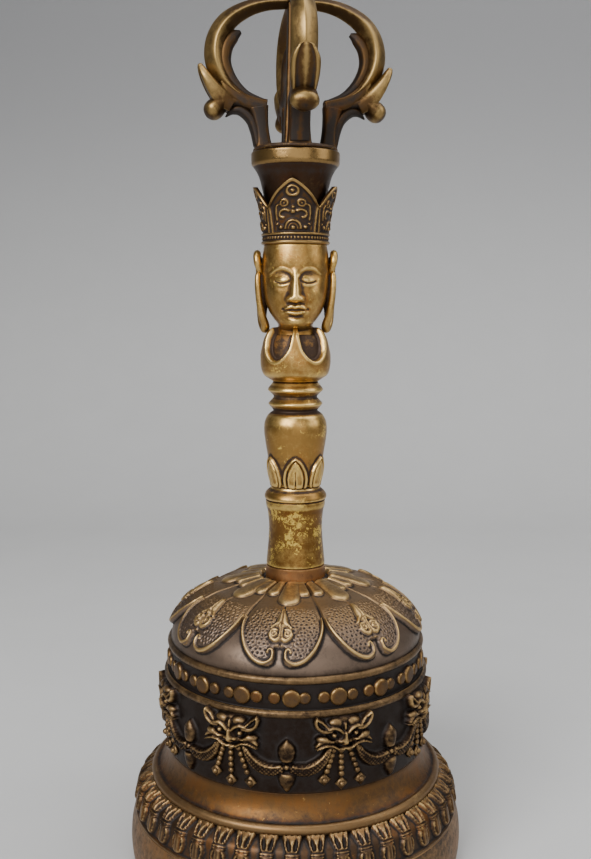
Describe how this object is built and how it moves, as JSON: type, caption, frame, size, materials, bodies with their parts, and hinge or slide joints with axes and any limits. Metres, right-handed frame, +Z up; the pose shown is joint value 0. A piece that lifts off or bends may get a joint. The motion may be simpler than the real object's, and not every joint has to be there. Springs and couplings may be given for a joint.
{
  "type": "ritual hand bell",
  "caption": "Cast brass ritual hand bell with a flared mouth, a stacked handle with a crowned head, a pronged vajra top and a clapper hung on a ring.",
  "frame": {"origin": "centre of the rim that the bell stands on, on the surface", "axes": "+Z up along the handle; the head on the handle looks along -Y"},
  "size_m": [0.0922, 0.0922, 0.2357],
  "materials": {
    "bell_brass": "cast, dark brown patina worn to ochre on the flare and bright on raised edges",
    "handle_brass": "cast, polished by handling, with dark patina in the hollows",
    "vajra_brass": "cast, worn golden on the edges with dark patina low down",
    "iron_fittings": "hand-forged, blackened, dry",
    "clapper_iron": "forged, bright where it strikes"
  },
  "bodies": {
    "bell": {"bell_shell": "bell_brass", "base_collar": "handle_brass", "handle_spool": "handle_brass", "spool_cap_ring": "handle_brass", "vase_grip": "handle_brass", "head_and_lotus": "handle_brass", "five_leaf_crown": "handle_brass", "flared_capital": "handle_brass", "vajra_base_plate": "vajra_brass", "vajra_center_prong": "vajra_brass", "vajra_prong_right": "vajra_brass", "vajra_prong_back": "vajra_brass", "vajra_prong_left": "vajra_brass", "vajra_prong_front": "vajra_brass", "tie_rod": "iron_fittings", "crown_washer": "iron_fittings", "lock_nut": "iron_fittings", "eye_nut": "iron_fittings"},
    "clapper_link": {"clapper_ring": "iron_fittings"},
    "clapper": {"clapper_shank": "iron_fittings", "clapper_ball": "clapper_iron"}
  },
  "joints": [
    {"name": "ring_swing", "type": "hinge", "parent": "bell", "child": "clapper_link", "pos_m": [0, 0, 0.05743], "axis": [0, 1, 0], "range_deg": [-27, 27]},
    {"name": "clapper_swing", "type": "hinge", "parent": "clapper_link", "child": "clapper", "pos_m": [0, 0, 0.04898], "axis": [1, 0, 0], "range_deg": [-27, 27]}
  ]
}
